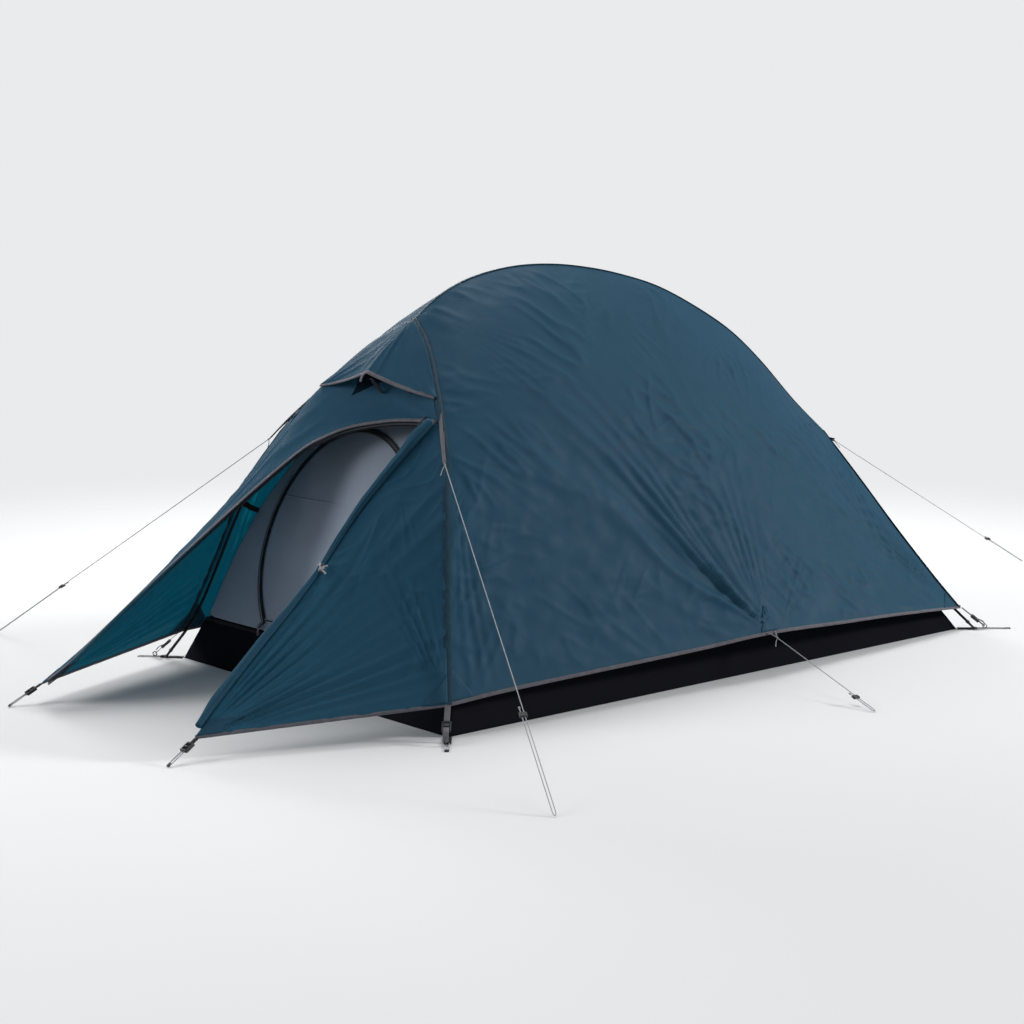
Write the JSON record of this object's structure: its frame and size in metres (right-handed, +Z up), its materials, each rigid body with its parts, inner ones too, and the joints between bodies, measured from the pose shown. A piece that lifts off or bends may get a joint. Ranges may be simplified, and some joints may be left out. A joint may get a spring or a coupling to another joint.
{
  "type": "dome tent",
  "caption": "Low dome tent with hubbed poles, an inner cabin on a waterproof tub floor, a flysheet with a peg-out vestibule, a vent hood and guy lines.",
  "frame": {"origin": "on the ground, under the middle of the tent's length between the vestibule's peg straps and the rear peg loops", "axes": "+Z up, the entrance faces -Y, +X is the side that the entrance door is rolled to"},
  "size_m": [2.6462, 4.0227, 1.1638],
  "materials": {
    "fly_cloth": "coated ripstop polyester, petrol blue, slight sheen",
    "inner_cloth": "breathable grey-mauve polyester",
    "tub_cloth": "thick coated black polyester",
    "pole_metal": "black anodised",
    "moulded_plastic": "moulded, fine texture",
    "webbing": "woven grey webbing",
    "guy_cord": "braided light grey cord",
    "shock_cord": "sheathed elastic"
  },
  "bodies": {
    "tent": {"fly_side_right": "fly_cloth", "fly_side_left": "fly_cloth", "fly_rear": "fly_cloth", "vestibule_front": "fly_cloth", "vestibule_wing_left": "fly_cloth", "vent_hood": "fly_cloth", "inner_side_right": "inner_cloth", "inner_side_left": "inner_cloth", "inner_rear": "inner_cloth", "inner_front": "inner_cloth", "tub_floor": "tub_cloth", "spine_pole_front": "pole_metal", "spine_pole_middle": "pole_metal", "spine_pole_rear": "pole_metal", "front_leg_lower_right": "pole_metal", "front_leg_upper_right": "pole_metal", "front_leg_lower_left": "pole_metal", "front_leg_upper_left": "pole_metal", "rear_leg_right": "pole_metal", "rear_leg_left": "pole_metal", "front_hub": "moulded_plastic", "rear_hub": "moulded_plastic", "pole_tip_front_right": "moulded_plastic", "pole_tip_front_left": "moulded_plastic", "pole_tip_rear_right": "moulded_plastic", "pole_tip_rear_left": "moulded_plastic", "fly_strap_front_right": "webbing", "fly_strap_front_left": "webbing", "fly_strap_rear_right": "webbing", "fly_strap_rear_left": "webbing", "vestibule_strap_left": "webbing", "corner_tab_front_right": "webbing", "corner_tab_front_left": "webbing", "corner_tab_rear_right": "webbing", "corner_tab_rear_left": "webbing", "guy_line_front_right": "guy_cord", "guy_line_front_left": "guy_cord", "guy_line_middle_right": "guy_cord", "guy_line_middle_left": "guy_cord", "guy_line_rear": "guy_cord", "spine_shock_cord": "shock_cord"},
    "buckle_front_right_body": {"buckle_front_right": "moulded_plastic"},
    "buckle_front_left_body": {"buckle_front_left": "moulded_plastic"},
    "buckle_rear_right_body": {"buckle_rear_right": "moulded_plastic"},
    "buckle_rear_left_body": {"buckle_rear_left": "moulded_plastic"},
    "vestibule_buckle_right_body": {"vestibule_buckle_right": "moulded_plastic"},
    "vestibule_buckle_left_body": {"vestibule_buckle_left": "moulded_plastic"},
    "guy_adjuster_front_right_body": {"guy_adjuster_front_right": "moulded_plastic"},
    "guy_adjuster_front_left_body": {"guy_adjuster_front_left": "moulded_plastic"},
    "guy_adjuster_middle_right_body": {"guy_adjuster_middle_right": "moulded_plastic"},
    "guy_adjuster_middle_left_body": {"guy_adjuster_middle_left": "moulded_plastic"},
    "guy_adjuster_rear_body": {"guy_adjuster_rear": "moulded_plastic"},
    "toggle": {"door_toggle": "moulded_plastic"},
    "vent_prop_flap": {"vent_prop": "moulded_plastic"},
    "fly_slider": {"fly_zip_slider": "moulded_plastic"},
    "inner_door_panel": {"inner_door": "inner_cloth"},
    "inner_slider": {"inner_zip_slider": "moulded_plastic"},
    "wing": {"vestibule_wing_right": "fly_cloth", "rolled_door": "fly_cloth", "vestibule_strap_right": "webbing"}
  },
  "joints": [
    {"name": "wing_swing", "type": "hinge", "parent": "tent", "child": "wing", "pos_m": [0.626, -0.7737, 0.085], "axis": [-0.3581, 0.2825, 0.8899], "range_deg": [0, 60]},
    {"name": "toggle_turn", "type": "hinge", "parent": "wing", "child": "toggle", "pos_m": [0.32929, -0.94886, 0.41766], "axis": [0.6804, -0.6804, 0.2722], "range_deg": [0, 90]},
    {"name": "vent_prop_fold", "type": "hinge", "parent": "tent", "child": "vent_prop_flap", "pos_m": [0, -0.5397, 0.87], "axis": [1, 0, 0], "range_deg": [0, 80]},
    {"name": "fly_zip_run", "type": "slide", "parent": "tent", "child": "fly_slider", "axis": [-0.9851, -0.1348, -0.1066], "range_m": [0, 0.15]},
    {"name": "inner_door_swing", "type": "hinge", "parent": "tent", "child": "inner_door_panel", "pos_m": [0.21, -0.71348, 0.15807], "axis": [0, -0.3552, -0.9348], "range_deg": [0, 60]},
    {"name": "inner_zip_run", "type": "hinge", "parent": "tent", "child": "inner_slider", "pos_m": [-0.063, -0.63251, 0.39509], "axis": [0, 0.9348, -0.3552], "range_deg": [0, 185]},
    {"name": "guy_adjuster_front_right_slide", "type": "slide", "parent": "tent", "child": "guy_adjuster_front_right_body", "axis": [0.7572, -0.3547, -0.5485], "range_m": [0, 0.12]},
    {"name": "guy_adjuster_front_left_slide", "type": "slide", "parent": "tent", "child": "guy_adjuster_front_left_body", "axis": [-0.7572, -0.3547, -0.5485], "range_m": [0, 0.12]},
    {"name": "guy_adjuster_middle_right_slide", "type": "slide", "parent": "tent", "child": "guy_adjuster_middle_right_body", "axis": [0.9408, -0.2657, -0.2106], "range_m": [0, 0.05]},
    {"name": "guy_adjuster_middle_left_slide", "type": "slide", "parent": "tent", "child": "guy_adjuster_middle_left_body", "axis": [-0.9408, -0.2657, -0.2106], "range_m": [0, 0.05]},
    {"name": "guy_adjuster_rear_slide", "type": "slide", "parent": "tent", "child": "guy_adjuster_rear_body", "axis": [0, 0.8983, -0.4395], "range_m": [0, 0.12]},
    {"name": "buckle_front_right_slide", "type": "slide", "parent": "tent", "child": "buckle_front_right_body", "axis": [0.5403, -0.521, -0.6608], "range_m": [-0.02, 0.012]},
    {"name": "buckle_rear_right_slide", "type": "slide", "parent": "tent", "child": "buckle_rear_right_body", "axis": [0.6906, 0.4144, -0.5928], "range_m": [-0.01, 0.008]},
    {"name": "vestibule_buckle_right_slide", "type": "slide", "parent": "wing", "child": "vestibule_buckle_right_body", "axis": [0.1335, -0.8679, -0.4785], "range_m": [0, 0.03]},
    {"name": "buckle_front_left_slide", "type": "slide", "parent": "tent", "child": "buckle_front_left_body", "axis": [-0.5403, -0.521, -0.6608], "range_m": [-0.02, 0.012]},
    {"name": "buckle_rear_left_slide", "type": "slide", "parent": "tent", "child": "buckle_rear_left_body", "axis": [-0.6906, 0.4144, -0.5928], "range_m": [-0.01, 0.008]},
    {"name": "vestibule_buckle_left_slide", "type": "slide", "parent": "tent", "child": "vestibule_buckle_left_body", "axis": [-0.1335, -0.8679, -0.4785], "range_m": [0, 0.03]}
  ]
}
